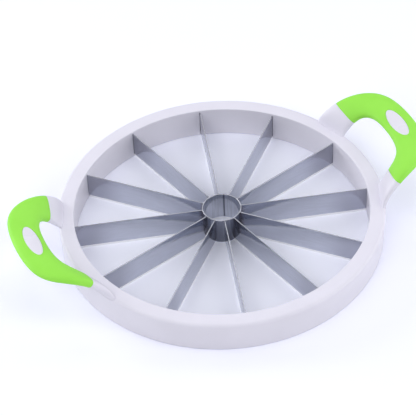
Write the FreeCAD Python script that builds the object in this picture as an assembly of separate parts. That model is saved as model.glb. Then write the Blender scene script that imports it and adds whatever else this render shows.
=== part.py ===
import FreeCAD, Part
import math
import os

# Watermelon slicer: a plastic ring made of two mouldings, twelve flat steel
# blades hooked into it, a steel core tube in the middle, and two raised loop
# handles with soft grips. Millimetres. The origin is the middle of the ring at
# the height of the table, +Z points up and the handles lie along X.

Vector = FreeCAD.Vector
UP = Vector(0, 0, 1)
ORIGIN = Vector(0, 0, 0)

# Ring, upper moulding
ring_outer_radius = 145.0
ring_width = 14.0
ring_height = 30.0
ring_wall = 2.0
ring_draft = 1.0              # the outer wall is this much smaller at the table
rim_crown = 0.5               # the middle of the rim stands above its edges
rim_flat = 0.5                # straight run between the crown's rounding and the shoulder
shoulder_radius = 3.0
rim_edge_radius = 0.8
channel_corner_radius = 0.6

# Blades
blades_per_half = 6
blade_thickness = 0.8
rim_above_blades = 3.0
blades_above_table = 0.5
bevel_height = 2.4
cutting_land = 0.1            # width that is left at the cutting edge
slot_side_clearance = 0.2
tab_clearance = 0.5           # between the blade ends and the channel's ceiling
hook_width = 2.6              # steel beyond the post that a blade hooks over
edge_run_on = 1.0             # from the cutting edge's end to the channel

# Core tube
core_outer_radius = 17.5
core_wall = 1.0
core_above_blades = 0.5
core_bevel_height = 1.5

# Ring, lower moulding
base_thickness = 3.0
base_side_gap = 0.15
post_offset = 1.6             # from the inner wall's back to the posts
post_thickness = 1.6
post_length = 9.0
post_height = 9.0
post_clearance = 0.25

# Screws
screw_radius = 1.45
screw_length = 14.0
screw_head_radius = 2.6
screw_head_height = 1.6
screw_head_recess = 0.2
screw_head_clearance = 0.2
screw_hole_clearance = 0.15
pilot_clearance = 0.05
pilot_run_out = 1.5
boss_radius = 3.0
boss_web_thickness = 1.6
boss_base_gap = 0.1
cross_recess_length = 3.0
cross_recess_width = 0.7
cross_recess_depth = 0.8

# Handle strap, seen from above and from the side
root_inset = 2.8              # the arms start this far inside the ring's outer edge
opening_half_length = 35.3    # half the finger opening, along Y
root_half_span = 65.0         # outer edge of an arm at the ring, from the X axis
finger_gap = 18.3             # from the ring to the inner edge of the grip
grip_width = 27.0
grip_lift = 23.9              # inner edge of the grip above the rim
grip_bank = 4.3               # the outer edge is this much higher than the inner one
grip_crown = 5.0              # the top of the grip above the line between its edges
grip_belly = 4.0              # the underside of the grip below that line
arm_crown = 1.2
crown_sharpness = 7           # how soon the crown grows to its full height along an arm
arm_belly = 4.2
arm_squareness = 0.80
grip_squareness = 0.62
seam_inner_length = 11.5      # a seam's plane crosses the other arm's inner edge here,
seam_outer_length = 17.6      # and its outer edge here, both measured from the ring
root_depth = 8.0              # how far an arm runs on into the ring
strap_steps = 24              # lengths that the strap is drawn in

# Handle roots inside the ring
neck_post_gap = 1.3           # between a neck and the post of the blade beside it
neck_boss_gap = 5.6           # between a neck and the screw boss beside it
neck_base_gap = 0.1
neck_wall_gap = 0.3
neck_screw_margin = 5.3       # from a neck's side to the middle of its screw

# Soft grip and oval inset
skin_thickness = 1.2
core_centring = 0.9           # 1 puts the widest line of the core half way up
oval_half_length = 18.7
oval_half_width = 6.5
oval_shift = -1.9             # from the middle of the grip towards the ring

# Heights and radii that follow from the sizes above
ring_inner_radius = ring_outer_radius - ring_width
blade_top = ring_height - rim_above_blades
blade_bottom = blades_above_table
ceiling = blade_top + tab_clearance
channel_inner = ring_inner_radius + ring_wall
channel_outer = ring_outer_radius - ring_wall
base_outer = channel_outer - ring_draft - base_side_gap
post_inner = channel_inner + post_offset
post_outer = post_inner + post_thickness
boss_centre = (channel_inner + channel_outer - ring_draft) / 2
blade_count = 2 * blades_per_half
pitch = 360.0 / blade_count
root_radius = ring_outer_radius - root_inset
pilot_radius = screw_radius + pilot_clearance
screw_seat = screw_head_recess + screw_head_height
screw_tip = screw_seat + screw_length
past = 1.0                    # how far a cutting solid runs past a face


def turned(corners):
    """Solid of revolution about Z; a corner is (radius, height, rounding)."""
    count = len(corners)
    arcs = []
    for i, (radius, height, rounding) in enumerate(corners):
        here = Vector(radius, 0, height)
        if not rounding:
            arcs.append((here, None, here))
            continue
        before = Vector(corners[i - 1][0], 0, corners[i - 1][1])
        after = Vector(corners[(i + 1) % count][0], 0, corners[(i + 1) % count][1])
        to_before = (before - here).normalize()
        to_after = (after - here).normalize()
        half_angle = to_before.getAngle(to_after) / 2
        setback = rounding / math.tan(half_angle)
        inward = (to_before + to_after).normalize()
        middle = here + inward * (rounding / math.sin(half_angle) - rounding)
        arcs.append((here + to_before * setback, middle, here + to_after * setback))
    edges = []
    for i, (start, middle, end) in enumerate(arcs):
        if middle:
            edges.append(Part.Arc(start, middle, end).toShape())
        edges.append(Part.LineSegment(end, arcs[(i + 1) % count][0]).toShape())
    return Part.Face(Part.Wire(edges)).revolve(ORIGIN, UP, 360)


def plate(corners, thickness):
    """Flat plate in the XZ plane, as thick as said, centred on that plane."""
    points = [Vector(x, -thickness / 2, z) for x, z in corners]
    face = Part.Face(Part.makePolygon(points + points[:1]))
    return face.extrude(Vector(0, thickness, 0))


def bar(corners, x_start, x_end):
    """Straight bar along X whose section has corners (y, z)."""
    points = [Vector(x_start, y, z) for y, z in corners]
    face = Part.Face(Part.makePolygon(points + points[:1]))
    return face.extrude(Vector(x_end - x_start, 0, 0))


def tube_sector(inner, outer, low, high, start, end):
    """Part of an upright tube between two angles in degrees."""
    height = high - low
    outer_wedge = Part.makeCylinder(outer, height, Vector(0, 0, low), UP, end - start)
    inner_wedge = Part.makeCylinder(inner, height + 2 * past, Vector(0, 0, low - past), UP)
    sector = outer_wedge.cut(inner_wedge)
    sector.rotate(ORIGIN, UP, start)
    return sector


def turned_about_axis(shape, degrees):
    """Copy of a shape, turned about the ring's axis."""
    copy = shape.copy()
    copy.rotate(ORIGIN, UP, degrees)
    return copy


def mirrored_across_x(shape):
    """Copy of a shape on the other side of the XZ plane."""
    return shape.mirror(ORIGIN, Vector(0, 1, 0))


def blade_angles():
    """Directions of the blades: half a pitch off the handle axis."""
    return [(i + 0.5) * pitch for i in range(blade_count)]


def boss_angles():
    """Directions of the ring's screws, midway between the blades."""
    return [i * pitch for i in range(blade_count)]


def arc_degrees(length):
    """Angle that a length along the middle of the channel takes up."""
    return math.degrees(length / boss_centre)


# Handle strap. Its two edges are smooth curves from one root over the grip to
# the other root, and each is led by five control points and their mirror images.

def strap_edge(points):
    """Edge curve; a control point is (beyond the ring, from the X axis, above the rim)."""
    half = [Vector(ring_outer_radius + x, y, ring_height + z) for x, y, z in points]
    other = [Vector(p.x, -p.y, p.z) for p in reversed(half)]
    curve = Part.BSplineCurve()
    curve.buildFromPoles(half + other, False, 3)
    return curve


def root_reach(span):
    """How far beyond the ring's outside a root lies, which is less than nothing."""
    return math.sqrt(root_radius ** 2 - span ** 2) - ring_outer_radius


inner_edge = strap_edge([
    (root_reach(opening_half_length), opening_half_length, -0.5),
    (root_reach(opening_half_length) + 5.6, opening_half_length + 0.6, 5.5),
    (finger_gap - 10.1, opening_half_length + 0.9, grip_lift - 7.6),
    (finger_gap - 2.5, opening_half_length - 9.9, grip_lift - 1.1),
    (finger_gap, opening_half_length - 25.0, grip_lift),
])
outer_edge = strap_edge([
    (root_reach(root_half_span), root_half_span, -0.5),
    (root_reach(root_half_span) + 3.3, root_half_span - 2.0, 8.9),
    (finger_gap - 14.3, root_half_span - 5.0, grip_lift + grip_bank - 2.6),
    (finger_gap + grip_width - 9.1, root_half_span - 16.6, grip_lift + grip_bank - 0.2),
    (finger_gap + grip_width, opening_half_length - 14.1, grip_lift + grip_bank),
])


def strap_frame(place, run_on=0.0):
    """Middle, half width and axes of the strap at a place from 0 to 1 along it."""
    inner = inner_edge.value(place)
    outer = outer_edge.value(place)
    inner_run = inner_edge.tangent(place)[0].normalize()
    outer_run = outer_edge.tangent(place)[0].normalize()
    inner = inner + inner_run * run_on
    outer = outer + outer_run * run_on
    across = outer - inner
    half_width = across.Length / 2
    across.normalize()
    along = (inner_run + outer_run).normalize()
    normal = along.cross(across)
    if normal.z < 0:
        normal = normal * -1
    return (inner + outer) * 0.5, half_width, across, normal.normalize(), along


def strap_section(place, inset, run_on=0.0):
    """Closed rounded outline across the strap, drawn in on all sides by an inset.

    The full outline is widest along the edge curves. A drawn-in one is widest
    nearly half way up, so that it also fits inside the flat arms.
    """
    middle, half_width, across, normal, along = strap_frame(place, run_on)
    nearness = 1 - abs(2 * place - 1)
    swell = nearness * nearness * (3 - 2 * nearness)
    crown_swell = 1 - (1 - nearness) ** crown_sharpness
    crown = arm_crown + (grip_crown - arm_crown) * crown_swell
    belly = arm_belly + (grip_belly - arm_belly) * swell
    squareness = arm_squareness + (grip_squareness - arm_squareness) * swell
    widest = core_centring * (crown - belly) / 2 if inset else 0.0
    middle = middle + normal * widest
    side = across * (half_width - inset)
    top = normal * (crown - inset - widest)
    bottom = normal * -(belly - inset + widest)
    corners = [side, top, side * -1, bottom]
    edges = []
    for i, start in enumerate(corners):
        end = corners[(i + 1) % 4]
        curve = Part.BezierCurve()
        curve.setPoles([middle + start, middle + start + end * squareness,
                        middle + end + start * squareness, middle + end])
        edges.append(curve.toShape())
    return Part.Wire(edges)


def strap(inset):
    """Whole strap from one root to the other, drawn in by an inset."""
    places = [i / strap_steps for i in range(strap_steps + 1)]
    wires = [strap_section(0.0, inset, -root_depth), strap_section(0.0, inset, -root_depth / 2)]
    wires += [strap_section(place, inset) for place in places]
    wires += [strap_section(1.0, inset, root_depth / 2), strap_section(1.0, inset, root_depth)]
    return Part.makeLoft(wires, True, False)


def strap_zone():
    """Space that holds the grip: all of the strap beyond the two bare arms.

    Two leaning planes bound it. Each plane passes low through one arm and then
    crosses the other arm higher up, where it makes the seam.
    """
    inner_place = inner_edge.parameterAtDistance(seam_inner_length, 0.0)
    outer_place = outer_edge.parameterAtDistance(seam_outer_length, 0.0)
    inner = inner_edge.value(inner_place)
    across = (outer_edge.value(outer_place) - inner).normalize()
    normal = strap_frame((inner_place + outer_place) / 2)[3]
    along = normal.cross(across)
    if along.z < 0:
        along = along * -1
    size = 4 * ring_outer_radius
    box = Part.makeBox(size, size, size, Vector(-size / 2, -size / 2, 0))
    turn = FreeCAD.Rotation(across, across.cross(along) * -1, along, "ZXY")
    box.Placement = FreeCAD.Placement(inner, turn)
    return box.common(mirrored_across_x(box))


def neck_sides():
    """Angles at which a neck starts and ends, for the arm on the +Y side."""
    start = pitch / 2 + arc_degrees(post_length / 2 + neck_post_gap)
    end = pitch - arc_degrees(boss_radius + neck_boss_gap)
    return start, end


def neck_sectors(inner, outer, low, high):
    """Sectors of an upright tube at the two necks of the handle on the +X side."""
    start, end = neck_sides()
    sector = tube_sector(inner, outer, low, high, start, end)
    return [sector, mirrored_across_x(sector)]


def neck_screw_angles():
    """Directions of the screws in the two necks of the handle on the +X side."""
    start, end = neck_sides()
    first = start + arc_degrees(neck_screw_margin)
    second = end - arc_degrees(neck_screw_margin)
    return [first, second, -first, -second]


def screw_angles():
    """Directions of all the screws: those of the ring, then those of the two handles."""
    near = neck_screw_angles()
    return boss_angles() + near + [angle + 180 for angle in near]


def crown_radius():
    """Radius that rounds the ridge of the rim up to the flat beside the shoulder."""
    half_width = ring_width / 2
    slope = math.atan2(rim_crown, half_width)
    lean = math.atan2(ring_draft, ring_height - rim_crown)
    shoulder_run = shoulder_radius / math.tan((math.pi / 2 + slope - lean) / 2)
    return (math.hypot(half_width, rim_crown) - shoulder_run - rim_flat) / math.tan(slope)


rim_corners = [
    (ring_inner_radius, 0, 0),
    (ring_inner_radius, ring_height - rim_crown, rim_edge_radius),
    (ring_inner_radius + ring_width / 2, ring_height, crown_radius()),
    (ring_outer_radius, ring_height - rim_crown, shoulder_radius),
    (ring_outer_radius - ring_draft, 0, 0),
]
channel_corners = [
    (channel_outer - ring_draft, 0, 0),
    (channel_outer, ceiling, channel_corner_radius),
    (channel_inner, ceiling, channel_corner_radius),
    (channel_inner, 0, 0),
]


def make_upper_ring(handles):
    """Ring moulding, open beneath, with screw bosses, blade slots and handle slots."""
    ring = turned(rim_corners + channel_corners)
    boss_foot = base_thickness + boss_base_gap
    boss_height = ceiling + past - boss_foot
    boss = Part.makeCylinder(boss_radius, boss_height, Vector(boss_centre, 0, boss_foot))
    web_corner = Vector(boss_centre, -boss_web_thickness / 2, boss_foot)
    web_length = channel_outer + ring_wall / 4 - boss_centre
    web = Part.makeBox(web_length, boss_web_thickness, boss_height, web_corner)
    boss = boss.fuse(web)
    ring = ring.fuse([turned_about_axis(boss, angle) for angle in boss_angles()])
    pilot = Part.makeCylinder(pilot_radius, screw_tip + pilot_run_out, Vector(boss_centre, 0, 0))
    slot_width = blade_thickness + 2 * slot_side_clearance
    slot_length = ring_wall + 2 * past
    slot_height = blade_top + slot_side_clearance + past
    corner = Vector(ring_inner_radius - past, -slot_width / 2, -past)
    slot = Part.makeBox(slot_length, slot_width, slot_height, corner)
    cuts = [turned_about_axis(pilot, angle) for angle in boss_angles()]
    cuts += [turned_about_axis(slot, angle) for angle in blade_angles()]
    return ring.cut(cuts + handles).removeSplitter()


def make_lower_ring():
    """Base ring that closes the channel, with the posts that the blades hook over."""
    base_inner = channel_inner + base_side_gap
    ring = turned([
        (base_inner, 0, 0), (base_inner, base_thickness, 0),
        (base_outer, base_thickness, 0), (base_outer, 0, 0),
    ])
    post_corner = Vector(post_inner, -post_length / 2, base_thickness / 2)
    post = Part.makeBox(post_thickness, post_length, base_thickness / 2 + post_height, post_corner)
    ring = ring.fuse([turned_about_axis(post, angle) for angle in blade_angles()])
    hole_radius = screw_radius + screw_hole_clearance
    hole = Part.makeCylinder(hole_radius, base_thickness + 2 * past, Vector(boss_centre, 0, -past))
    seat_radius = screw_head_radius + screw_head_clearance
    seat = Part.makeCylinder(seat_radius, screw_seat + past, Vector(boss_centre, 0, -past))
    pocket = hole.fuse(seat)
    return ring.cut([turned_about_axis(pocket, angle) for angle in screw_angles()])


def make_blade():
    """Blade along +X: a flat plate, hooked at the ring and sharpened along its lower edge."""
    channel_floor = base_thickness + post_clearance
    notch_inner = post_inner - post_clearance
    notch_outer = post_outer + post_clearance
    notch_top = base_thickness + post_height + post_clearance
    edge_end = channel_inner - edge_run_on
    blade = plate([
        (core_outer_radius, blade_bottom), (edge_end, blade_bottom), (edge_end, channel_floor),
        (notch_inner, channel_floor), (notch_inner, notch_top),
        (notch_outer, notch_top), (notch_outer, channel_floor),
        (notch_outer + hook_width, channel_floor), (notch_outer + hook_width, blade_top),
        (core_outer_radius, blade_top),
    ], blade_thickness)
    half = blade_thickness / 2
    land = cutting_land / 2
    bevel = bar([
        (half, blade_bottom + bevel_height), (half + past, blade_bottom + bevel_height),
        (half + past, blade_bottom - past), (land, blade_bottom - past), (land, blade_bottom),
    ], 0, edge_end)
    return blade.cut([bevel, mirrored_across_x(bevel)])


def make_core_tube():
    """Tube that the blades are welded to, sharpened from outside at its lower edge."""
    inner = core_outer_radius - core_wall
    top = blade_top + core_above_blades
    return turned([
        (inner, blade_bottom, 0), (inner, top, 0), (core_outer_radius, top, 0),
        (core_outer_radius, blade_bottom + core_bevel_height, 0),
        (inner + cutting_land, blade_bottom, 0),
    ])


def make_screw(centre_radius):
    """Self-tapping screw with a flat head and a cross recess, upright at +X."""
    head_base = Vector(centre_radius, 0, screw_head_recess)
    head = Part.makeCylinder(screw_head_radius, screw_head_height, head_base)
    shaft_base = Vector(centre_radius, 0, screw_seat)
    shaft = Part.makeCylinder(screw_radius, screw_length, shaft_base)
    half_length = cross_recess_length / 2
    half_width = cross_recess_width / 2
    arm = Part.makeBox(cross_recess_length, cross_recess_width, cross_recess_depth + past,
                       Vector(centre_radius - half_length, -half_width, screw_head_recess - past))
    other = Part.makeBox(cross_recess_width, cross_recess_length, cross_recess_depth + past,
                         Vector(centre_radius - half_width, -half_length, screw_head_recess - past))
    return head.fuse(shaft).cut([arm, other])


def oval_prism():
    """Upright oval column through the grip's top, square to it."""
    middle, half_width, across, normal, along = strap_frame(0.5)
    ellipse = Part.Ellipse(ORIGIN, oval_half_length, oval_half_width).toShape()
    face = Part.Face(Part.Wire(ellipse))
    turn = FreeCAD.Rotation(Vector(0, 1, 0), across * -1, normal, "ZXY")
    face.Placement = FreeCAD.Placement(middle + across * oval_shift, turn)
    return face.extrude(normal * (2 * grip_crown))


def make_handle():
    """Frame, grip and oval inset of the handle on the +X side."""
    whole = strap(0.0)
    core = strap(skin_thickness)
    zone = strap_zone()
    envelope = turned(rim_corners)
    passages = neck_sectors(ring_inner_radius, ring_outer_radius + past, -past, ring_height + past)
    arms = whole.cut(zone).cut(envelope.cut(passages))
    neck_inner = channel_inner + neck_wall_gap
    neck_outer = channel_outer - ring_draft - neck_wall_gap
    blocks = neck_sectors(neck_inner, neck_outer, base_thickness + neck_base_gap, ceiling)
    frame = arms.fuse([core.common(zone)] + blocks)
    pilot = Part.makeCylinder(pilot_radius, screw_tip + pilot_run_out, Vector(boss_centre, 0, 0))
    frame = frame.cut([turned_about_axis(pilot, angle) for angle in neck_screw_angles()])
    skin = whole.common(zone).cut(core)
    prism = oval_prism()
    return frame, skin.cut(prism), skin.common(prism)


def save(name, *shapes):
    """Write one sub-part, of one or more separate solids."""
    shape = shapes[0] if len(shapes) == 1 else Part.makeCompound(list(shapes))
    shape.exportStep(os.path.join("parts", name + ".step"))


os.makedirs("parts", exist_ok=True)

frame, grip, oval = make_handle()
for side, turn in (("right", 0), ("left", 180)):
    save("handle_frame_" + side, turned_about_axis(frame, turn))
    save("grip_" + side, turned_about_axis(grip, turn))
    save("oval_inset_" + side, turned_about_axis(oval, turn))
save("upper_ring", make_upper_ring([frame, turned_about_axis(frame, 180)]))
save("lower_ring", make_lower_ring())
blade = make_blade()
for number, angle in enumerate(blade_angles(), start=1):
    save("blade_%02d" % number, turned_about_axis(blade, angle))
save("core_tube", make_core_tube())
screw = make_screw(boss_centre)
save("base_screws", *[turned_about_axis(screw, angle) for angle in screw_angles()])
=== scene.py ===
import logging
import math
from dataclasses import dataclass, field
from enum import Enum
from functools import cache

import bmesh
import bpy
import numpy as np
from mathutils import Matrix, Vector
from mathutils.bvhtree import BVHTree


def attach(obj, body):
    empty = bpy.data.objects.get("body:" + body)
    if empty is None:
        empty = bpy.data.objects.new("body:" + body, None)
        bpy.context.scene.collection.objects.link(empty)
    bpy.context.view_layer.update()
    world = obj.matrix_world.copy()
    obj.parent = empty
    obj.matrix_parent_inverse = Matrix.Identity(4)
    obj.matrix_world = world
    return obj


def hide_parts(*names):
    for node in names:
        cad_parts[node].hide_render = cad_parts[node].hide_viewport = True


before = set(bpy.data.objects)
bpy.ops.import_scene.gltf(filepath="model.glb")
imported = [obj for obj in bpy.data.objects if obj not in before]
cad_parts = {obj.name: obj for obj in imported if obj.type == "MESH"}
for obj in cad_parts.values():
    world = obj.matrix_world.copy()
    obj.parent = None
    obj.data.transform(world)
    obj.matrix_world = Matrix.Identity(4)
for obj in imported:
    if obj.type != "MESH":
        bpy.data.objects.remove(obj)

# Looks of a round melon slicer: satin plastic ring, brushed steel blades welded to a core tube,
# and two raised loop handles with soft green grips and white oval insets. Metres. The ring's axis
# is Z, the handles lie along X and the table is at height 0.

Socket = bpy.types.NodeSocket
Value = float | tuple[float, ...] | Socket
Colour = tuple[float, float, float]

LOG = logging.getLogger("melon_slicer")
BODY = "root"
WELD_ANGLE = 60.0                  # direction of the core tube's weld, in degrees


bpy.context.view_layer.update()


class Side(Enum):
    """Side of a handle, with its turn about the ring's axis in degrees."""

    RIGHT = 0.0
    LEFT = 180.0

    def node(self, stem: str) -> str:
        """Name of the frame's node for this side."""
        return f"{stem}_{self.name.lower()}"


def screen(red: float, green: float, blue: float) -> tuple[float, float, float, float]:
    """Turn a colour as it looks on screen into a linear one.

    Args:
        red: red on screen, 0 to 255.
        green: green on screen.
        blue: blue on screen.

    Returns:
        Linear red, green and blue, and an opacity of 1.
    """
    channels = []
    for value in (red, green, blue):
        share = value / 255
        channels.append(share / 12.92 if share <= 0.04045 else ((share + 0.055) / 1.055) ** 2.4)
    return (*channels, 1.0)


# Shader nodes


class NodeSheet:
    """A node tree with short ways to add nodes and join them."""

    def __init__(self, tree: bpy.types.NodeTree) -> None:
        """Keep the material's or group's node tree."""
        self.tree = tree

    def add(self, kind: str, inputs: dict[str | int, Value] | None = None,
            **settings: object) -> bpy.types.Node:
        """Add one node.

        Args:
            kind: Blender's name of the node type.
            inputs: value or linked socket for each named or numbered input.
            settings: properties of the node.

        Returns:
            The new node.
        """
        node = self.tree.nodes.new(kind)
        for name, value in settings.items():
            setattr(node, name, value)
        for name, value in (inputs or {}).items():
            self.feed(node.inputs[name], value)
        return node

    def feed(self, socket: Socket, value: Value) -> None:
        """Give an input its value.

        Args:
            socket: the input.
            value: an output to link into it, or a number or colour to set.
        """
        if isinstance(value, Socket):
            self.tree.links.new(value, socket)
        else:
            socket.default_value = value

    def math(self, operation: str, *values: Value, clamp: bool = False) -> Socket:
        """Result of a Math node on values or sockets."""
        inputs = dict(enumerate(values))
        return self.add("ShaderNodeMath", inputs, operation=operation, use_clamp=clamp).outputs[0]

    def mix(self, share: Value, first: Value, second: Value) -> Socket:
        """Mix two colours.

        Args:
            share: 0 for the first colour alone, 1 for the second.
            first: linear colour or socket.
            second: linear colour or socket.

        Returns:
            The mixed colour.
        """
        node = self.add("ShaderNodeMix", data_type="RGBA")
        for number, value in ((0, share), (6, first), (7, second)):
            self.feed(node.inputs[number], value)
        return node.outputs[2]

    def ramp(self, value: Value, low: float, high: float) -> Socket:
        """Value spread smoothly from 0 at low to 1 at high."""
        inputs = {"Value": value, "From Min": low, "From Max": high}
        return self.add("ShaderNodeMapRange", inputs, interpolation_type="SMOOTHSTEP").outputs[0]

    def stretched(self, place: Value, x: Value, y: Value, z: Value) -> Socket:
        """Scale a position along each axis.

        Args:
            place: the position.
            x: factor along X.
            y: factor along Y.
            z: factor along Z.

        Returns:
            The scaled position.
        """
        factors = self.add("ShaderNodeCombineXYZ", {"X": x, "Y": y, "Z": z}).outputs[0]
        inputs = {0: place, 1: factors}
        return self.add("ShaderNodeVectorMath", inputs, operation="MULTIPLY").outputs[0]

    def noise(self, place: Value, scale: Value = 1.0, detail: float = 2.0) -> Socket:
        """Value of a noise texture."""
        inputs = {"Vector": place, "Scale": scale, "Detail": detail}
        return self.add("ShaderNodeTexNoise", inputs).outputs[0]


class Effect:
    """A shader node group with named inputs and outputs, built once and shared by finishes."""

    name = "effect"
    inputs: dict[str, float] = {}
    outputs: tuple[str, ...] = ()

    @cache
    def group(self) -> bpy.types.NodeTree:
        """Build the group when it is first asked for.

        Returns:
            The group's node tree.
        """
        tree = bpy.data.node_groups.new(self.name, "ShaderNodeTree")
        tree.interface.new_socket("Position", in_out="INPUT", socket_type="NodeSocketVector")
        for label, value in self.inputs.items():
            made = tree.interface.new_socket(label, in_out="INPUT", socket_type="NodeSocketFloat")
            made.default_value = value
        for label in self.outputs:
            tree.interface.new_socket(label, in_out="OUTPUT", socket_type="NodeSocketFloat")
        sheet = NodeSheet(tree)
        entry = sheet.add("NodeGroupInput").outputs
        result = sheet.add("NodeGroupOutput").inputs
        for label, value in self.draw(sheet, entry).items():
            tree.links.new(value, result[label])
        return tree

    def draw(self, sheet: NodeSheet, entry: bpy.types.NodeOutputs) -> dict[str, Socket]:
        """Fill the group and return a socket for each output."""
        raise NotImplementedError

    def place(self, sheet: NodeSheet, position: Socket, **values: float) -> dict[str, Socket]:
        """Put the group in a material.

        Args:
            sheet: the material's nodes.
            position: coordinates in metres.
            values: the group's inputs, with underscores for spaces.

        Returns:
            The group's output sockets by name.
        """
        node = sheet.add("ShaderNodeGroup", node_tree=self.group())
        sheet.feed(node.inputs["Position"], position)
        for label, value in values.items():
            sheet.feed(node.inputs[label.replace("_", " ")], value)
        return {socket.name: socket for socket in node.outputs}


class MouldGrain(Effect):
    """Fine grain of a spark-eroded mould and slow clouds of tone."""

    name = "mould_grain"
    inputs = {"Grain Size": 0.0004, "Cloud Size": 0.03}
    outputs = ("Height", "Cloud", "Speckle")

    def draw(self, sheet: NodeSheet, entry: bpy.types.NodeOutputs) -> dict[str, Socket]:
        """Draw noise at the grain's size and at the clouds' size.

        Args:
            sheet: the group's nodes.
            entry: the group's inputs.

        Returns:
            A socket for each output.
        """
        grain = sheet.noise(entry["Position"], sheet.math("DIVIDE", 1.0, entry["Grain Size"]), 3.0)
        cloud = sheet.noise(entry["Position"], sheet.math("DIVIDE", 1.0, entry["Cloud Size"]))
        speckle = sheet.ramp(grain, 0.58, 0.72)
        return {"Height": grain, "Cloud": sheet.ramp(cloud, 0.3, 0.7), "Speckle": speckle}


class HandlingMarks(Effect):
    """Thin scuffs and faint smears of a tool that has been washed and put away a few times."""

    name = "handling_marks"
    inputs = {"Mark Length": 0.012, "Mark Width": 0.0006}
    outputs = ("Scuff", "Smear")
    angles = (0.5, 2.0)            # directions of the scuffs about Z, in radians
    smears_per_metre = 22.0

    def draw(self, sheet: NodeSheet, entry: bpy.types.NodeOutputs) -> dict[str, Socket]:
        """Draw stretched noise in two directions, kept only at its peaks, and a cloudy smear.

        Args:
            sheet: the group's nodes.
            entry: the group's inputs.

        Returns:
            A socket for each output.
        """
        along = sheet.math("DIVIDE", 1.0, entry["Mark Length"])
        across = sheet.math("DIVIDE", 1.0, entry["Mark Width"])
        marks = []
        for angle in self.angles:
            inputs = {"Vector": entry["Position"], "Angle": angle}
            turned = sheet.add("ShaderNodeVectorRotate", inputs, rotation_type="Z_AXIS").outputs[0]
            lines = sheet.noise(sheet.stretched(turned, along, across, along))
            marks.append(sheet.ramp(lines, 0.68, 0.76))
        smear = sheet.ramp(sheet.noise(entry["Position"], self.smears_per_metre, 4.0), 0.4, 0.7)
        return {"Scuff": sheet.math("MAXIMUM", *marks), "Smear": smear}


class BrushLines(Effect):
    """Fine parallel lines of a brushed strip, along X of the given position."""

    name = "brush_lines"
    inputs = {"Line Length": 0.035, "Line Pitch": 0.0003}
    outputs = ("Height", "Streak")
    streak_narrowing = 0.2         # a streak of tone is five lines wide

    def draw(self, sheet: NodeSheet, entry: bpy.types.NodeOutputs) -> dict[str, Socket]:
        """Draw noise that is long along X, fine for the height and wide for the tone.

        Args:
            sheet: the group's nodes.
            entry: the group's inputs.

        Returns:
            A socket for each output.
        """
        along = sheet.math("DIVIDE", 1.0, entry["Line Length"])
        fine = sheet.math("DIVIDE", 1.0, entry["Line Pitch"])
        wide = sheet.math("MULTIPLY", fine, self.streak_narrowing)
        height = sheet.noise(sheet.stretched(entry["Position"], along, fine, fine))
        streak = sheet.noise(sheet.stretched(entry["Position"], along, wide, wide))
        return {"Height": height, "Streak": sheet.ramp(streak, 0.3, 0.7)}


MOULD_GRAIN = MouldGrain()
HANDLING_MARKS = HandlingMarks()
BRUSH_LINES = BrushLines()


# Finishes


@dataclass(frozen=True)
class Finish:
    """A named finish, built once as a material.

    Attributes:
        name: material name.
        slot: the record's material slot; not used.
        tint: colour on screen, 0 to 255.
    """

    name: str
    slot: str
    tint: Colour

    @cache
    def material(self) -> bpy.types.Material:
        """Build the material when it is first asked for.

        Returns:
            The material.
        """
        made = bpy.data.materials.new(self.name)
        made.use_nodes = True
        made.node_tree.nodes.clear()
        sheet = NodeSheet(made.node_tree)
        place = sheet.add("ShaderNodeTexCoord").outputs["Object"]
        shader = self.shade(sheet, place)
        sheet.add("ShaderNodeOutputMaterial", {"Surface": shader.outputs[0]})
        return made

    def shade(self, sheet: NodeSheet, place: Socket) -> bpy.types.Node:
        """Draw the finish and return its shader."""
        raise NotImplementedError


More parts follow.
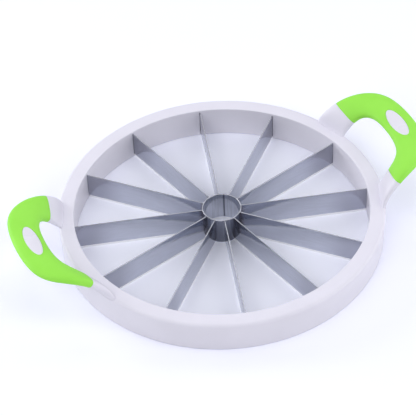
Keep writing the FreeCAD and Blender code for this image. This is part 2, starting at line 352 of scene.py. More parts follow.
@dataclass(frozen=True)
class Plastic(Finish):
    """Moulded plastic or soft overmoulding.

    Attributes:
        deep: colour of the slow darker clouds, on screen.
        roughness: mean roughness.
        grain: size of the mould's grain, in metres.
        grain_depth: depth of that grain, in metres.
        specular: specular level.
        sheen: sheen weight, for soft rubber.
        edge: radius that softens hard edges, in metres.
        fill: how neutral the light is that it throws on its surroundings, from 0 to 1.
        neutral: colour of that neutral light, on screen.
        smear_roughness: what a full smear adds to the roughness.
        scuff_roughness: what a scuff adds.
        speckle_roughness: what a peak of the grain adds.
    """

    deep: Colour = (220.0, 218.0, 232.0)
    roughness: float = 0.42
    grain: float = 0.0005
    grain_depth: float = 0.00001
    specular: float = 0.4
    sheen: float = 0.0
    edge: float = 0.0004
    fill: float = 0.0
    neutral: Colour = (228.0, 228.0, 228.0)
    smear_roughness: float = 0.08
    scuff_roughness: float = 0.1
    speckle_roughness: float = 0.04

    def shade(self, sheet: NodeSheet, place: Socket) -> bpy.types.Node:
        """Draw clouded colour, uneven gloss, scuffs and grain on softened edges.

        Args:
            sheet: the material's nodes.
            place: coordinates on the piece, in metres.

        Returns:
            The shader.
        """
        grain = MOULD_GRAIN.place(sheet, place, Grain_Size=self.grain)
        marks = HANDLING_MARKS.place(sheet, place)
        base = sheet.mix(grain["Cloud"], screen(*self.tint), screen(*self.deep))
        if self.fill:
            thrown = sheet.add("ShaderNodeLightPath").outputs["Is Diffuse Ray"]
            share = sheet.math("MULTIPLY", thrown, self.fill)
            base = sheet.mix(share, base, screen(*self.neutral))
        smooth_part = self.roughness - self.smear_roughness / 2
        rough = sheet.math("MULTIPLY_ADD", marks["Smear"], self.smear_roughness, smooth_part)
        rough = sheet.math("MULTIPLY_ADD", marks["Scuff"], self.scuff_roughness, rough)
        rough = sheet.math("MULTIPLY_ADD", grain["Speckle"], self.speckle_roughness, rough, clamp=True)
        rounded = sheet.add("ShaderNodeBevel", {"Radius": self.edge}, samples=4).outputs[0]
        inputs = {"Height": grain["Height"], "Distance": self.grain_depth, "Normal": rounded}
        bump = sheet.add("ShaderNodeBump", inputs).outputs[0]
        return sheet.add("ShaderNodeBsdfPrincipled", {
            "Base Color": base,
            "Roughness": rough,
            "Specular IOR Level": self.specular,
            "Sheen Weight": self.sheen,
            "Sheen Roughness": 0.4,
            "Normal": bump,
        })


@dataclass(frozen=True)
class Steel(Finish):
    """Brushed stainless steel whose lines run along X of each piece.

    Attributes:
        roughness: mean roughness.
        line_length: length of a brush line, in metres.
        line_depth: depth of a brush line, in metres.
        streak: brightness of the darker streaks, as a share of the tint.
        streak_roughness: what a full streak adds to the roughness.
        smear_roughness: what a full smear adds.
        ground_roughness: what grinding adds.
        ground_scatter: share of a ground face that scatters light in place of mirroring it.
    """

    roughness: float = 0.14
    line_length: float = 0.014
    line_depth: float = 0.0000006
    streak: float = 0.97
    streak_roughness: float = 0.04
    smear_roughness: float = 0.05
    ground_roughness: float = 0.5
    ground_scatter: float = 0.8

    def lines_along(self, sheet: NodeSheet, place: Socket) -> Socket:
        """Position whose X follows the brush lines."""
        return place

    def toned(self, sheet: NodeSheet, place: Socket, base: Socket) -> Socket:
        """Colour with the piece's own marks, such as a ground edge or a weld."""
        return base

    def ground_down(self, sheet: NodeSheet, place: Socket) -> Value:
        """1 where the strip is ground down and 0 where it is as rolled."""
        return 0.0

    def shade(self, sheet: NodeSheet, place: Socket) -> bpy.types.Node:
        """Draw lines, streaks of tone and smears on a metal.

        Args:
            sheet: the material's nodes.
            place: coordinates on the piece, in metres.

        Returns:
            The shader.
        """
        along = self.lines_along(sheet, place)
        lines = BRUSH_LINES.place(sheet, along, Line_Length=self.line_length)
        marks = HANDLING_MARKS.place(sheet, place)
        dark = tuple(value * self.streak for value in self.tint)
        base = sheet.mix(lines["Streak"], screen(*self.tint), screen(*dark))
        base = self.toned(sheet, place, base)
        smooth_part = self.roughness - self.streak_roughness / 2
        rough = sheet.math("MULTIPLY_ADD", lines["Streak"], self.streak_roughness, smooth_part)
        rough = sheet.math("MULTIPLY_ADD", marks["Smear"], self.smear_roughness, rough, clamp=True)
        ground = self.ground_down(sheet, place)
        rough = sheet.math("MULTIPLY_ADD", ground, self.ground_roughness, rough, clamp=True)
        inputs = {"Height": lines["Height"], "Distance": self.line_depth}
        bump = sheet.add("ShaderNodeBump", inputs).outputs[0]
        return sheet.add("ShaderNodeBsdfPrincipled", {
            "Base Color": base,
            "Metallic": sheet.math("MULTIPLY_ADD", ground, -self.ground_scatter, 1.0),
            "Roughness": rough,
            "Normal": bump,
        })


@dataclass(frozen=True)
class BladeSteel(Steel):
    """Strip steel with a ground bevel painted with a highlight, a faint heat tint at the weld and
    painted shade at the ring end.

    Attributes:
        bevel_top: height of the bevel's upper line, in metres.
        weld_start: distance from the ring's axis at which the heat tint starts to fade, in metres.
        weld_end: the same for where it has faded.
        top: height above which the sheared upper edge starts, in metres.
        ground: colour of the ground bevel, near white as a painted highlight, on screen.
        edge: colour of the sheared upper edge, on screen.
        heat: colour of the heat tint, on screen.
        painted_shade_start: distance from the ring's axis at which the painted shade of the ring end
            starts, in metres.
        painted_shade_end: the same for where that painted shade is full.
        painted_end_shade: colour of that painted shade, which stands for the darker reflection of the
            shaded ring wall, on screen.
    """

    bevel_top: float = 0.0029
    weld_start: float = 0.0175
    weld_end: float = 0.0215
    top: float = 0.0268
    # near white: a painted highlight along the bevel
    ground: Colour = (250.0, 251.0, 255.0)
    edge: Colour = (186.0, 188.0, 197.0)
    heat: Colour = (168.0, 164.0, 168.0)
    # painted shade: the strip darkens towards the ring end, for the shaded wall that it reflects there
    painted_shade_start: float = 0.092
    painted_shade_end: float = 0.118
    painted_end_shade: Colour = (174.0, 176.0, 186.0)

    def toned(self, sheet: NodeSheet, place: Socket, base: Socket) -> Socket:
        """Tint the weld end and the upper edge, paint shade at the ring end and paint a highlight on
        the bevel.

        Args:
            sheet: the material's nodes.
            place: coordinates on the piece, in metres.
            base: colour of the strip.

        Returns:
            The colour with its tints.
        """
        parts = sheet.add("ShaderNodeSeparateXYZ", {0: place}).outputs
        cold = sheet.ramp(parts["X"], self.weld_start, self.weld_end)
        base = sheet.mix(cold, screen(*self.heat), base)
        # painted shade towards the ring end
        faded = sheet.ramp(parts["X"], self.painted_shade_start, self.painted_shade_end)
        base = sheet.mix(faded, base, screen(*self.painted_end_shade))
        sheared = sheet.math("GREATER_THAN", parts["Z"], self.top)
        base = sheet.mix(sheared, base, screen(*self.edge))
        # the bevel's near-white colour is a painted highlight
        return sheet.mix(self.ground_down(sheet, place), base, screen(*self.ground))

    def ground_down(self, sheet: NodeSheet, place: Socket) -> Value:
        """1 on the bevel."""
        height = sheet.add("ShaderNodeSeparateXYZ", {0: place}).outputs["Z"]
        return sheet.math("LESS_THAN", height, self.bevel_top)


@dataclass(frozen=True)
class TubeSteel(Steel):
    """Drawn tube with lines along its length, a dark weld inside and painted shade outside.

    Attributes:
        weld_core: half width of the weld's darkest part, in metres.
        weld_reach: distance at which the weld's dark line has faded, in metres.
        radius: mean radius of the tube, in metres.
        weld: colour of the weld, on screen.
        outer: colour of the painted shade on the outside, for the narrow corners between the blades,
            on screen.
        outer_shade_share: how far the outside has that colour, from 0 to 1.
        top: height above which the rim starts, in metres.
        rim: colour of the rim, on screen.
    """

    weld_core: float = 0.00033
    weld_reach: float = 0.0011
    radius: float = 0.017
    weld: Colour = (110.0, 113.0, 126.0)
    # painted shade for the dark corners between the blades
    outer: Colour = (92.0, 96.0, 110.0)
    outer_shade_share: float = 0.8
    top: float = 0.0272
    rim: Colour = (184.0, 186.0, 196.0)

    def around(self, sheet: NodeSheet, place: Socket) -> tuple[Socket, Socket, Socket]:
        """Measure a place on the tube.

        Args:
            sheet: the material's nodes.
            place: coordinates on the piece, in metres.

        Returns:
            Distance around the tube from the weld, height, and distance from the axis.
        """
        inputs = {"Vector": place, "Angle": -math.radians(WELD_ANGLE)}
        turned = sheet.add("ShaderNodeVectorRotate", inputs, rotation_type="Z_AXIS").outputs[0]
        parts = sheet.add("ShaderNodeSeparateXYZ", {0: turned}).outputs
        angle = sheet.math("ARCTAN2", parts["Y"], parts["X"])
        flat = sheet.stretched(turned, 1.0, 1.0, 0.0)
        away = sheet.add("ShaderNodeVectorMath", {0: flat}, operation="LENGTH").outputs["Value"]
        return sheet.math("MULTIPLY", angle, self.radius), parts["Z"], away

    def lines_along(self, sheet: NodeSheet, place: Socket) -> Socket:
        """Height as X, so that the lines run up the tube."""
        arc, height, away = self.around(sheet, place)
        return sheet.add("ShaderNodeCombineXYZ", {"X": height, "Y": arc, "Z": away}).outputs[0]

    def toned(self, sheet: NodeSheet, place: Socket, base: Socket) -> Socket:
        """Draw the dark line of the weld inside, painted shade on the outside and the rim.

        Args:
            sheet: the material's nodes.
            place: coordinates on the piece, in metres.
            base: colour of the strip.

        Returns:
            The colour with its tints.
        """
        arc, height, away = self.around(sheet, place)
        clear = sheet.ramp(sheet.math("ABSOLUTE", arc), self.weld_core, self.weld_reach)
        inside = sheet.mix(clear, screen(*self.weld), base)
        # painted shade: the whole outside is darkened for the shade between the blades
        outside = sheet.mix(self.outer_shade_share, base, screen(*self.outer))
        walls = sheet.mix(sheet.math("GREATER_THAN", away, self.radius), inside, outside)
        return sheet.mix(sheet.math("GREATER_THAN", height, self.top), walls, screen(*self.rim))


RING_WHITE = Plastic("ring_white", "white_plastic", (231, 229, 243), deep=(228, 226, 240))
BASE_WHITE = Plastic("base_white", "base_plastic", (222, 220, 232), deep=(217, 215, 228))
OVAL_WHITE = Plastic("oval_white", "oval_plastic", (231, 229, 242), deep=(229, 227, 240),
                     roughness=0.3, edge=0.0002)
GRIP_GREEN = Plastic("grip_green", "green_grip", (157, 237, 84), deep=(151, 232, 78),
                     roughness=0.55, grain=0.0004, grain_depth=0.00002, specular=0.3,
                     sheen=0.04, edge=0.0002, fill=0.85)
BLADE_STEEL = BladeSteel("ground_strip", "blade_steel", (194, 197, 207))
TUBE_STEEL = TubeSteel("drawn_tube", "tube_steel", (206, 209, 218), roughness=0.12,
                       line_length=0.02, streak=0.92)
SCREW_STEEL = Steel("plated_screw", "screw_steel", (175, 177, 183), roughness=0.3,
                    line_length=0.002)


# Meshes


def dress_node(node: str, finish: Finish) -> bpy.types.Object:
    """Give a piece of the frame its finish.

    Args:
        node: the piece's name.
        finish: the finish.

    Returns:
        The dressed piece.
    """
    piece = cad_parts[node]
    piece.data.materials.clear()
    piece.data.materials.append(finish.material())
    LOG.info("dressed %s in %s", node, finish.name)
    return piece


def smooth(mesh: bpy.types.Mesh, crease: float) -> bpy.types.Mesh:
    """Shade a mesh smoothly but for its creases.

    Args:
        mesh: the mesh.
        crease: angle in degrees above which an edge stays sharp.

    Returns:
        The same mesh.
    """
    mesh.shade_smooth()
    mesh.set_sharp_from_angle(angle=math.radians(crease))
    return mesh


def new_mesh(name: str, vertices: np.ndarray, faces: list, crease: float = 35.0) -> bpy.types.Mesh:
    """Closed mesh with outward faces, smooth but for its creases.

    Args:
        name: mesh name.
        vertices: one row of three coordinates for each vertex, in metres.
        faces: vertex numbers of each face.
        crease: angle in degrees above which an edge stays sharp.

    Returns:
        The mesh.
    """
    mesh = bpy.data.meshes.new(name)
    mesh.from_pydata(vertices.tolist(), [], faces)
    work = bmesh.new()
    work.from_mesh(mesh)
    bmesh.ops.recalc_face_normals(work, faces=work.faces)
    work.to_mesh(mesh)
    work.free()
    return smooth(mesh, crease)


def new_piece(node: str, mesh: bpy.types.Mesh, finish: Finish, turn: float = 0.0) -> bpy.types.Object:
    """Put a mesh in the place of one of the frame's nodes.

    Args:
        node: the node that it replaces.
        mesh: the mesh, drawn for a turn of 0.
        finish: its finish.
        turn: turn about the ring's axis, in degrees.

    Returns:
        The new piece.
    """
    piece = bpy.data.objects.new(f"{node}_look", mesh)
    bpy.context.scene.collection.objects.link(piece)
    piece.rotation_euler.z = math.radians(turn)
    if not mesh.materials:
        mesh.materials.append(finish.material())
    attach(piece, BODY)
    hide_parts(node)
    LOG.info("built %s in %s", piece.name, finish.name)
    return piece


def grid_faces(rows: int, columns: int, rows_close: bool = False) -> list[tuple[int, ...]]:
    """Join rows of points into faces; the columns close on themselves.

    Args:
        rows: number of rows.
        columns: points in each row.
        rows_close: whether the last row joins the first one.

    Returns:
        Vertex numbers of each face.
    """
    faces = []
    for row in range(rows if rows_close else rows - 1):
        below = row * columns
        above = (row + 1) % rows * columns
        for column in range(columns):
            after = (column + 1) % columns
            faces.append((below + column, below + after, above + after, above + column))
    return faces


# Ring


@dataclass
class Ring:
    """The two mouldings of the ring and the screws that join them."""

    upper: Plastic = RING_WHITE
    lower: Plastic = BASE_WHITE
    screws: Steel = SCREW_STEEL

    def build(self) -> None:
        """Dress both mouldings and the screws."""
        dress_node("upper_ring", self.upper)
        dress_node("lower_ring", self.lower)
        dress_node("base_screws", self.screws)


# Blades and core tube


@dataclass
class Blades:
    """Twelve flat blades, hooked at the ring and ground from both sides along the lower edge."""

    count: int = 12
    thickness: float = 0.0008
    bottom: float = 0.0005
    top: float = 0.027
    bevel_height: float = 0.0024
    land: float = 0.0001
    start: float = 0.0175          # at the core tube
    edge_end: float = 0.132        # where the cutting edge stops, before the channel
    channel_floor: float = 0.00325
    notch_start: float = 0.13435
    notch_end: float = 0.13645
    notch_top: float = 0.01225
    hook_end: float = 0.13905
    burr: float = 0.00015          # rounding of the upper edge
    finish: Steel = BLADE_STEEL

    def outline(self) -> list[tuple[float, float]]:
        """Draw the side view above the bevel's upper line.

        Returns:
            Distances from the axis and heights.
        """
        bevel_line = self.bottom + self.bevel_height
        return [
            (self.start, bevel_line), (self.edge_end, bevel_line),
            (self.edge_end, self.channel_floor), (self.notch_start, self.channel_floor),
            (self.notch_start, self.notch_top), (self.notch_end, self.notch_top),
            (self.notch_end, self.channel_floor), (self.hook_end, self.channel_floor),
            (self.hook_end, self.top), (self.start, self.top),
        ]

    def mesh(self) -> bpy.types.Mesh:
        """Build a blade along +X, with a bevelled lower edge and rounded upper edges.

        Returns:
            The blade's mesh.
        """
        work = bmesh.new()
        sides = []
        for sign in (1, -1):
            body = [work.verts.new((x, sign * self.thickness / 2, z)) for x, z in self.outline()]
            edge = [work.verts.new((x, sign * self.land / 2, self.bottom))
                    for x in (self.start, self.edge_end)]
            work.faces.new(body)
            work.faces.new((edge[0], edge[1], body[1], body[0]))
            sides.append((body, edge))
        (near, near_edge), (far, far_edge) = sides
        for number in range(1, len(near)):
            after = (number + 1) % len(near)
            work.faces.new((near[number], near[after], far[after], far[number]))
        work.faces.new((near_edge[0], near_edge[1], far_edge[1], far_edge[0]))
        for end in (0, 1):
            work.faces.new((near_edge[end], near[end], far[end], far_edge[end]))
        bmesh.ops.recalc_face_normals(work, faces=work.faces)
        same = 1e-7                # metres
        upper = [edge for edge in work.edges
                 if all(abs(corner.co.z - self.top) < same for corner in edge.verts)
                 and abs(edge.verts[0].co.y - edge.verts[1].co.y) < same]
        bmesh.ops.bevel(work, geom=upper, offset=self.burr, segments=3, profile=0.5, affect="EDGES")
        mesh = bpy.data.meshes.new("blade")
        work.to_mesh(mesh)
        work.free()
        return smooth(mesh, crease=35.0)

    def build(self) -> None:
        """Set the blades half a pitch off the handles."""
        mesh = self.mesh()
        for number in range(self.count):
            turn = (number + 0.5) * 360 / self.count
            new_piece(f"blade_{number + 1:02d}", mesh, self.finish, turn)


@dataclass
class CoreTube:
    """Thin welded tube that the blades meet, ground from outside at its lower edge."""

    outer: float = 0.0175
    wall: float = 0.001
    bottom: float = 0.0005
    top: float = 0.0275
    bevel_height: float = 0.0015
    land: float = 0.0001
    rounding: float = 0.0003
    weld_depth: float = 0.00012
    weld_width: float = 0.00045
    columns: int = 360
    arc_points: int = 5            # in each rounding of the rim
    finish: Steel = TUBE_STEEL

    def profile(self) -> np.ndarray:
        """Draw the section, with both edges of the rim rounded.

        Returns:
            Distances from the axis and heights.
        """
        inner = self.outer - self.wall
        arc = np.radians(np.linspace(0, 90, self.arc_points))
        inner_edge = [(inner + self.rounding * (1 - math.cos(a)),
                       self.top - self.rounding * (1 - math.sin(a))) for a in arc]
        outer_edge = [(self.outer - self.rounding * (1 - math.sin(a)),
                       self.top - self.rounding * (1 - math.cos(a))) for a in arc]
        return np.array([
            (inner, self.bottom), *inner_edge, *outer_edge,
            (self.outer, self.bottom + self.bevel_height), (inner + self.land, self.bottom),
        ])

    def build(self) -> None:
        """Turn the section, with the weld as a shallow groove inside."""
        profile = self.profile()
        angles = np.linspace(0, 2 * math.pi, self.columns, endpoint=False)
        away = (angles - math.radians(WELD_ANGLE)) * self.outer / self.weld_width
        groove = self.weld_depth * np.exp(-away ** 2)
        inside = profile[:, :1] < self.outer - self.wall / 2
        radius = profile[:, :1] + inside * groove
        height = np.repeat(profile[:, 1:], self.columns, axis=1)
        vertices = np.stack([radius * np.cos(angles), radius * np.sin(angles), height], axis=-1)
        faces = grid_faces(len(profile), self.columns, rows_close=True)
        mesh = new_mesh("tube", vertices.reshape(-1, 3), faces)
        new_piece("core_tube", mesh, self.finish)


# Handles


def unit(vectors: np.ndarray) -> np.ndarray:
    """Vectors scaled to a length of 1."""
    return vectors / np.linalg.norm(vectors, axis=-1, keepdims=True)


class GuideCurve:
    """Edge of the strap: a clamped cubic spline led by five points and their mirror images."""

    degree = 3
    samples = 4001                 # points that measure the curve's length

    def __init__(self, poles: list[tuple[float, float, float]]) -> None:
        """Mirror the points across the XZ plane and spread the knots evenly.

        Args:
            poles: points that lead the half on the +Y side, from the ring to the middle.
        """
        half = np.array(poles)
        self.poles = np.vstack([half, half[::-1] * (1, -1, 1)])
        spread = np.linspace(0, 1, len(self.poles) - self.degree + 1)
        self.knots = np.concatenate([[0.0] * self.degree, spread, [1.0] * self.degree])

    @staticmethod
    def weights(knots: np.ndarray, degree: int, places: np.ndarray) -> np.ndarray:
        """Weigh the poles by the spline's own recurrence.

        Args:
            knots: the knots.
            degree: degree of the spline.
            places: places from 0 to 1.

        Returns:
            Share of each pole at each place.
        """
        at = np.clip(places, 0, 1 - 1e-9)[..., None]
        shares = ((knots[:-1] <= at) & (at < knots[1:])).astype(float)
        for step in range(1, degree + 1):
            rise = knots[step:-1] - knots[:-step - 1]
            fall = knots[step + 1:] - knots[1:-step]
            up = (at - knots[:-step - 1]) / np.where(rise > 0, rise, 1) * (rise > 0)
            down = (knots[step + 1:] - at) / np.where(fall > 0, fall, 1) * (fall > 0)
            shares = up * shares[..., :-1] + down * shares[..., 1:]
        return shares

    def points(self, places: np.ndarray) -> np.ndarray:
        """Points of the curve at places from 0 to 1."""
        return self.weights(self.knots, self.degree, places) @ self.poles

    def runs(self, places: np.ndarray) -> np.ndarray:
        """Find the curve's directions.

        Args:
            places: places from 0 to 1.

        Returns:
            A unit vector for each place.
        """
        spans = self.knots[self.degree + 1:-1] - self.knots[1:-self.degree - 1]
        steps = np.diff(self.poles, axis=0) / spans[:, None]
        return unit(self.weights(self.knots[1:-1], self.degree - 1, places) @ steps)

    def place_at(self, length: float) -> float:
        """Find the place that lies a length along the curve.

        Args:
            length: distance from the curve's start, in metres.

        Returns:
            The place, from 0 to 1.
        """
        places = np.linspace(0, 1, self.samples)
        steps = np.linalg.norm(np.diff(self.points(places), axis=0), axis=1)
        return float(np.interp(length, np.concatenate([[0], np.cumsum(steps)]), places))


@dataclass
class Strap:
    """The handle's strap on the +X side: a rounded section swept between two edge curves."""

    ring_radius: float = 0.145
    rim_height: float = 0.030
    root_radius: float = 0.1422
    opening_half: float = 0.0353   # half the finger opening, along Y
    root_half: float = 0.065       # outer edge of an arm at the ring, from the X axis
    finger_gap: float = 0.0183
    grip_width: float = 0.027
    grip_lift: float = 0.0239
    grip_bank: float = 0.0043
    grip_crown: float = 0.005
    grip_belly: float = 0.004
    arm_crown: float = 0.0012
    arm_belly: float = 0.0042
    crown_sharpness: int = 7
    arm_squareness: float = 0.80
    grip_squareness: float = 0.62
    seam_inner: float = 0.0115     # a seam's plane crosses the other arm's inner edge here
    seam_outer: float = 0.0176     # the same for the outer edge, both from the ring
    search: tuple[float, float] = (0.01, 0.45)  # places between which a seam lies
    search_steps: int = 30

    def __post_init__(self) -> None:
        """Draw the two edge curves and the seam."""
        gap, opening, root = self.finger_gap, self.opening_half, self.root_half
        lift, high = self.grip_lift, self.grip_lift + self.grip_bank
        near, far = self.root_reach(opening), self.root_reach(root)
        self.inner = GuideCurve(self.raised([
            (near, opening, -0.0005),
            (near + 0.0056, opening + 0.0006, 0.0055),
            (gap - 0.0101, opening + 0.0009, lift - 0.0076),
            (gap - 0.0025, opening - 0.0099, lift - 0.0011),
            (gap, opening - 0.025, lift),
        ]))
        self.outer = GuideCurve(self.raised([
            (far, root, -0.0005),
            (far + 0.0033, root - 0.002, 0.0089),
            (gap - 0.0143, root - 0.005, high - 0.0026),
            (gap + self.grip_width - 0.0091, root - 0.0166, high - 0.0002),
            (gap + self.grip_width, opening - 0.0141, high),
        ]))
        self.seam_point, self.seam_facing = self.seam()

    def root_reach(self, span: float) -> float:
        """How far beyond the ring's outside a root lies, which is less than nothing."""
        return math.sqrt(self.root_radius ** 2 - span ** 2) - self.ring_radius

    def raised(self, poles: list[tuple[float, float, float]]) -> list[tuple[float, float, float]]:
        """Points beyond the ring and above its rim, as coordinates."""
        return [(self.ring_radius + x, y, self.rim_height + z) for x, y, z in poles]

    def axes(self, places: np.ndarray) -> tuple[np.ndarray, np.ndarray, np.ndarray, np.ndarray]:
        """Set up the strap's section.

        Args:
            places: from 0 to 1 along the strap.

        Returns:
            Middle, half width, direction across and upward normal at each place.
        """
        inner, outer = self.inner.points(places), self.outer.points(places)
        width = np.linalg.norm(outer - inner, axis=-1, keepdims=True)
        across = (outer - inner) / width
        along = unit(self.inner.runs(places) + self.outer.runs(places))
        normal = unit(np.cross(along, across))
        normal = np.where(normal[..., 2:] < 0, -normal, normal)
        return (inner + outer) / 2, width / 2, across, normal

    def surface(self, places: np.ndarray, turns: np.ndarray, inset: float = 0.0) -> np.ndarray:
        """Points of the strap's skin.

        Args:
            places: from 0 to 1 along the strap.
            turns: from 0 to 4 around it: outer edge, top, inner edge, underside.
            inset: how far inside the skin, in metres.

        Returns:
            One point for each pair of place and turn.
        """
        middle, half, across, normal = self.axes(places)
        near = 1 - np.abs(2 * places - 1)
        swell = near * near * (3 - 2 * near)
        crown_swell = 1 - (1 - near) ** self.crown_sharpness
        crown = self.arm_crown + (self.grip_crown - self.arm_crown) * crown_swell
        belly = self.arm_belly + (self.grip_belly - self.arm_belly) * swell
        square = self.arm_squareness + (self.grip_squareness - self.arm_squareness) * swell
        quarter = turns.astype(int) % 4
        run = turns - turns.astype(int)
        leading = 3 * run * (1 - run) ** 2
        trailing = 3 * run ** 2 * (1 - run)
        first = (1 - run) ** 3 + leading + square * trailing
        second = square * leading + trailing + run ** 3
        sideways = np.choose(quarter, [first, -second, -first, second])
        upward = np.choose(quarter, [second, first, -second, -first])
        side = (half[..., 0] - inset) * sideways
        rise = (np.where(upward > 0, crown, belly) - inset) * upward
        return middle + across * side[..., None] + normal * rise[..., None]

    def seam(self) -> tuple[np.ndarray, np.ndarray]:
        """Set the +Y arm's seam plane: the mirror image of one that passes low through that arm.

        Returns:
            A point of the plane and the direction square to it, towards the grip.
        """
        inner_place = self.inner.place_at(self.seam_inner)
        outer_place = self.outer.place_at(self.seam_outer)
        inner = self.inner.points(np.array([inner_place]))[0]
        across = unit(self.outer.points(np.array([outer_place]))[0] - inner)
        normal = self.axes(np.array([(inner_place + outer_place) / 2]))[3][0]
        facing = np.cross(normal, across)
        mirror = np.array([1.0, -1.0, 1.0])
        return inner * mirror, facing * mirror * np.sign(facing[2])

    def places_beyond_seam(self, turns: np.ndarray, distance: float, inset: float) -> np.ndarray:
        """Find where the lengthwise lines of the skin lie a distance beyond the seam.

        Args:
            turns: turn of each line around the strap, from 0 to 4.
            distance: distance beyond the seam, in metres.
            inset: how far inside the skin the lines run, in metres.

        Returns:
            Place of each line's point, from 0 to 1.
        """
        low, high = (np.full(len(turns), place) for place in self.search)
        for _ in range(self.search_steps):
            middle = (low + high) / 2
            points = self.surface(middle, turns, inset)
            beyond = (points - self.seam_point) @ self.seam_facing > distance
            low, high = np.where(beyond, low, middle), np.where(beyond, middle, high)
        return (low + high) / 2


@dataclass
class Oval:
    """Oval inset that lies flush in the top of the grip."""

    strap: Strap
    half_length: float = 0.0187
    half_width: float = 0.0065
    shift: float = -0.0019         # from the middle of the grip towards the ring
    gap: float = 0.00008
    rounding: float = 0.0005
    depth: float = 0.001
    pocket: tuple[float, float] = (0.001, 0.009)  # heights between which the skin is cut
    ray_start: float = 0.01        # height above the strap's middle
    inner_loops: tuple[float, ...] = (0.15, 0.35, 0.55, 0.75, 0.9)  # shares of the oval
    arc_points: int = 6            # in the rounding of the rim
    columns: int = 128
    finish: Plastic = OVAL_WHITE

    def __post_init__(self) -> None:
        """Set the oval's middle and axes from the strap's."""
        middle, _, across, normal = self.strap.axes(np.array([0.5]))
        self.across, self.normal = across[0], normal[0]
        self.centre = middle[0] + self.across * self.shift

    def loop(self, grow: float, share: float = 1.0) -> np.ndarray:
        """Draw the oval's outline.

        Args:
            grow: distance by which both half axes grow, in metres.
            share: scale about the middle.

        Returns:
            Points of the outline.
        """
        angles = np.linspace(0, 2 * math.pi, self.columns, endpoint=False)[:, None]
        long = (self.half_length + grow) * np.cos(angles) * np.array([0.0, 1.0, 0.0])
        wide = (self.half_width + grow) * np.sin(angles) * self.across
        return self.centre + (long + wide) * share

    def prism(self) -> bpy.types.Mesh:
        """Build the column that cuts the pocket.

        Returns:
            The column's mesh.
        """
        rings = [self.loop(0.0) + self.normal * height for height in self.pocket]
        faces = grid_faces(2, self.columns)
        faces += [tuple(range(self.columns)), tuple(range(self.columns, 2 * self.columns))]
        return new_mesh("prism", np.concatenate(rings), faces)

    def on_skin(self, points: np.ndarray, tree: BVHTree) -> np.ndarray:
        """Move points along the oval's normal onto the grip.

        Args:
            points: the points.
            tree: the grip's outer surface.

        Returns:
            The moved points.
        """
        normal = Vector(self.normal)
        above = normal * self.ray_start
        return np.array([tree.ray_cast(Vector(point) + above, -normal)[0][:] for point in points])

    def mesh(self, tree: BVHTree) -> bpy.types.Mesh:
        """Build a disc that follows the skin, with a rounded rim and a flat underside.

        Args:
            tree: the grip's outer surface.

        Returns:
            The disc's mesh.
        """
        inner = -self.gap - self.rounding
        loops = [self.on_skin(self.loop(inner, share), tree) for share in self.inner_loops]
        for angle in np.radians(np.linspace(0, 90, self.arc_points)):
            grow = inner + self.rounding * math.sin(angle)
            fall = self.rounding * (1 - math.cos(angle))
            loops.append(self.on_skin(self.loop(grow), tree) - self.normal * fall)
        loops.append(loops[-1] - self.normal * (self.depth - self.rounding))
        vertices = np.concatenate([*loops, self.on_skin(self.centre[None], tree)])
        faces = grid_faces(len(loops), self.columns)
        middle = len(vertices) - 1
        faces += [(i, (i + 1) % self.columns, middle) for i in range(self.columns)]
        faces.append(tuple(range(middle - self.columns, middle)))
        return new_mesh("oval", vertices, faces, crease=50.0)


@dataclass
class Grip:
    """Soft skin over the strap, with rounded ends at the seams and a pocket for the oval."""

    strap: Strap
    oval: Oval
    lip: float = 0.0004            # rounding of the ends at the seams
    depth: float = 0.0009          # thickness of the skin that is drawn
    columns: int = 96
    rows: int = 90                 # from the seam to the middle, on the outside
    inside_rows: int = 30
    arc_points: int = 6            # in the rounding of the ends
    finish: Plastic = GRIP_GREEN

    def half_rows(self, inset: float, count: int, lip: float) -> list[np.ndarray]:
        """Rows of points from the seam to the middle of the grip.

        Args:
            inset: how far inside the skin the rows lie, in metres.
            count: rows between the end and the middle.
            lip: radius that rounds the end, in metres, or 0.

        Returns:
            One array of points for each row.
        """
        turns = np.arange(self.columns) * 4 / self.columns
        rows = []
        for angle in np.radians(np.linspace(0, 90, self.arc_points if lip else 1)):
            drawn_in = inset + lip * (1 - math.sin(angle))
            distance = lip * (1 - math.cos(angle))
            places = self.strap.places_beyond_seam(turns, distance, drawn_in)
            rows.append(self.strap.surface(places, turns, drawn_in))
        for share in np.linspace(0, 1, count + 1)[1:]:
            rows.append(self.strap.surface(places + (0.5 - places) * share, turns, inset))
        return rows

    @staticmethod
    def both_arms(rows: list[np.ndarray]) -> list[np.ndarray]:
        """Rows from one seam over the middle to the other seam."""
        return rows + [row * (1, -1, 1) for row in reversed(rows[:-1])]

    def mesh(self) -> tuple[bpy.types.Mesh, BVHTree]:
        """Build the skin.

        Returns:
            The skin with its pocket, and its outer surface without one, for rays.
        """
        outside = self.both_arms(self.half_rows(0.0, self.rows, self.lip))
        inside = self.both_arms(self.half_rows(self.depth, self.inside_rows, 0.0))
        everything = outside + inside[::-1]
        faces = grid_faces(len(everything), self.columns, rows_close=True)
        outer_faces = grid_faces(len(outside), self.columns)
        tree = BVHTree.FromPolygons(np.concatenate(outside).tolist(), outer_faces)
        skin = new_mesh("grip_whole", np.concatenate(everything), faces)
        return self.pocketed(skin), tree

    def pocketed(self, skin: bpy.types.Mesh) -> bpy.types.Mesh:
        """Cut the oval's pocket.

        Args:
            skin: the whole skin.

        Returns:
            The skin with its pocket.
        """
        whole = bpy.data.objects.new("grip_whole", skin)
        cutter = bpy.data.objects.new("grip_cutter", self.oval.prism())
        for helper in (whole, cutter):
            bpy.context.scene.collection.objects.link(helper)
        cut = whole.modifiers.new("pocket", "BOOLEAN")
        cut.operation = "DIFFERENCE"
        cut.solver = "EXACT"
        cut.object = cutter
        solved = whole.evaluated_get(bpy.context.evaluated_depsgraph_get())
        mesh = bpy.data.meshes.new_from_object(solved)
        for helper in (whole, cutter):
            bpy.data.objects.remove(helper)
        mesh.name = "grip"
        mesh.materials.clear()
        return smooth(mesh, crease=40.0)


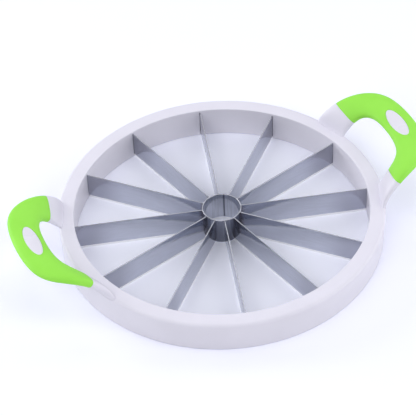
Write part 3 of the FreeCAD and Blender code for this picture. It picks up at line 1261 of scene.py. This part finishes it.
@dataclass
class Handles:
    """Both loop handles: white frames, soft grips and oval insets."""

    frame_finish: Plastic = RING_WHITE
    strap: Strap = field(default_factory=Strap)

    def build(self) -> None:
        """Draw one grip and oval, and place them on both sides."""
        oval = Oval(self.strap)
        grip = Grip(self.strap, oval)
        skin, tree = grip.mesh()
        disc = oval.mesh(tree)
        for side in Side:
            dress_node(side.node("handle_frame"), self.frame_finish)
            new_piece(side.node("grip"), skin, grip.finish, side.value)
            new_piece(side.node("oval_inset"), disc, oval.finish, side.value)


# Studio


@dataclass
class Viewpoint:
    """The photograph's viewpoint, solved from the ring, the blades and the handles."""

    centre: tuple[float, float, float] = (-0.42954, -1.05202, 1.10709)
    turn: float = -21.6            # degrees from the handles' line to the picture's width
    pitch: float = 43.54           # degrees below the horizon
    roll: float = -2.93            # degrees
    lens: float = 153.25           # millimetres
    sensor: float = 36.0           # millimetres
    farthest: float = 20.0         # metres

    def build(self) -> bpy.types.Object:
        """Place the camera.

        Returns:
            The camera.
        """
        camera = bpy.data.objects.new("camera", bpy.data.cameras.new("camera"))
        bpy.context.scene.collection.objects.link(camera)
        camera.data.lens = self.lens
        camera.data.sensor_width = self.sensor
        camera.data.clip_end = self.farthest
        pitch = math.radians(self.pitch)
        roll = math.radians(self.roll)
        level = Matrix.Rotation(math.radians(self.turn), 3, "Z")
        right = level @ Vector((1, 0, 0))
        ahead = level @ Vector((0, math.cos(pitch), -math.sin(pitch)))
        above = level @ Vector((0, math.sin(pitch), math.cos(pitch)))
        rolled_right = math.cos(roll) * right + math.sin(roll) * above
        rolled_above = math.cos(roll) * above - math.sin(roll) * right
        axes = Matrix((rolled_right, rolled_above, -ahead)).transposed()
        camera.matrix_world = Matrix.Translation(self.centre) @ axes.to_4x4()
        bpy.context.scene.camera = camera
        return camera


@dataclass
class Softbox:
    """A square lamp that faces the object.

    Attributes:
        name: lamp name.
        azimuth: direction it stands in, in degrees from +X.
        height: degrees above the table.
        power: watts.
        size: side of the lamp, in metres.
        away: distance from the object, in metres.
    """

    name: str
    azimuth: float
    height: float
    power: float
    size: float = 1.3
    away: float = 2.2

    def build(self) -> None:
        """Add the lamp."""
        data = bpy.data.lights.new(self.name, "AREA")
        data.shape = "SQUARE"
        data.size = self.size
        data.energy = self.power
        lamp = bpy.data.objects.new(self.name, data)
        bpy.context.scene.collection.objects.link(lamp)
        azimuth, height = math.radians(self.azimuth), math.radians(self.height)
        level = math.cos(height)
        towards = Vector((level * math.cos(azimuth), level * math.sin(azimuth), math.sin(height)))
        lamp.location = towards * self.away
        lamp.rotation_mode = "QUATERNION"
        lamp.rotation_quaternion = (-towards).to_track_quat("-Z", "Y")


@dataclass
class Studio:
    """Pale floor, soft lamps all round and a white surround."""

    floor_size: float = 6.0
    floor_drop: float = 0.0002
    floor_light: Colour = (0.92, 0.92, 0.93)  # with which it lights the object
    floor_seen: Colour = (0.985, 1.0, 1.13)  # with which it is seen
    sky: float = 0.2
    sky_light: Colour = (0.96, 0.98, 1.0)
    sky_seen: Colour = (1.0, 1.0, 1.0)
    softboxes: list[Softbox] = field(default_factory=lambda: [
        Softbox("overhead", 0, 90, 5.7),
        Softbox("right", 0, 18, 11.5),
        Softbox("back_left", 135, 18, 22.0),
        Softbox("front_right_low", 315, 18, 6.6),
        Softbox("back_right", 45, 45, 4.9),
        Softbox("back", 90, 45, 3.6),
        Softbox("left", 180, 45, 7.2),
        Softbox("front_left", 225, 45, 12.0),
        Softbox("front_right", 315, 45, 9.6),
    ])

    @staticmethod
    def seen(sheet: NodeSheet) -> Socket:
        """Tell what is seen from what only lights the object.

        Args:
            sheet: the material's nodes.

        Returns:
            1 for the camera and for mirror images, 0 for scattered light.
        """
        path = sheet.add("ShaderNodeLightPath").outputs
        mirrored = sheet.math("MAXIMUM", path["Is Glossy Ray"], path["Is Transmission Ray"])
        direct = sheet.math("LESS_THAN", path["Diffuse Depth"], 0.5)
        mirrored = sheet.math("MULTIPLY", mirrored, direct)
        return sheet.math("MAXIMUM", path["Is Camera Ray"], mirrored)

    def world(self) -> None:
        """White to look at, and a soft pale sky for light."""
        world = bpy.data.worlds.new("surround")
        bpy.context.scene.world = world
        world.use_nodes = True
        world.node_tree.nodes.clear()
        sheet = NodeSheet(world.node_tree)
        inputs = {"Color": (*self.sky_light, 1.0), "Strength": self.sky}
        light = sheet.add("ShaderNodeBackground", inputs)
        inputs = {"Color": (*self.sky_seen, 1.0), "Strength": 1.0}
        white = sheet.add("ShaderNodeBackground", inputs)
        path = sheet.add("ShaderNodeLightPath").outputs
        inputs = {0: path["Is Camera Ray"], 1: light.outputs[0], 2: white.outputs[0]}
        mixed = sheet.add("ShaderNodeMixShader", inputs)
        sheet.add("ShaderNodeOutputWorld", {"Surface": mixed.outputs[0]})

    def floor(self) -> None:
        """A pale floor that keeps the object's shadow."""
        half = self.floor_size / 2
        mesh = bpy.data.meshes.new("floor")
        places = [(-half, -half, 0), (half, -half, 0), (half, half, 0), (-half, half, 0)]
        mesh.from_pydata(places, [], [(0, 1, 2, 3)])
        floor = bpy.data.objects.new("floor", mesh)
        bpy.context.scene.collection.objects.link(floor)
        floor.location.z = -self.floor_drop
        material = bpy.data.materials.new("floor_white")
        material.use_nodes = True
        material.node_tree.nodes.clear()
        sheet = NodeSheet(material.node_tree)
        tone = sheet.mix(self.seen(sheet), (*self.floor_light, 1.0), (*self.floor_seen, 1.0))
        shader = sheet.add("ShaderNodeBsdfDiffuse", {"Color": tone})
        sheet.add("ShaderNodeOutputMaterial", {"Surface": shader.outputs[0]})
        mesh.materials.append(material)

    def build(self) -> None:
        """Make the world, the floor and the lamps."""
        self.world()
        self.floor()
        for softbox in self.softboxes:
            softbox.build()
        bpy.context.scene.view_settings.view_transform = "Standard"


def main() -> None:
    """Build the object, the studio and the viewpoint."""
    logging.basicConfig(level=logging.INFO)
    Ring().build()
    Blades().build()
    CoreTube().build()
    Handles().build()
    Studio().build()
    Viewpoint().build()


if __name__ == "__main__":
    main()
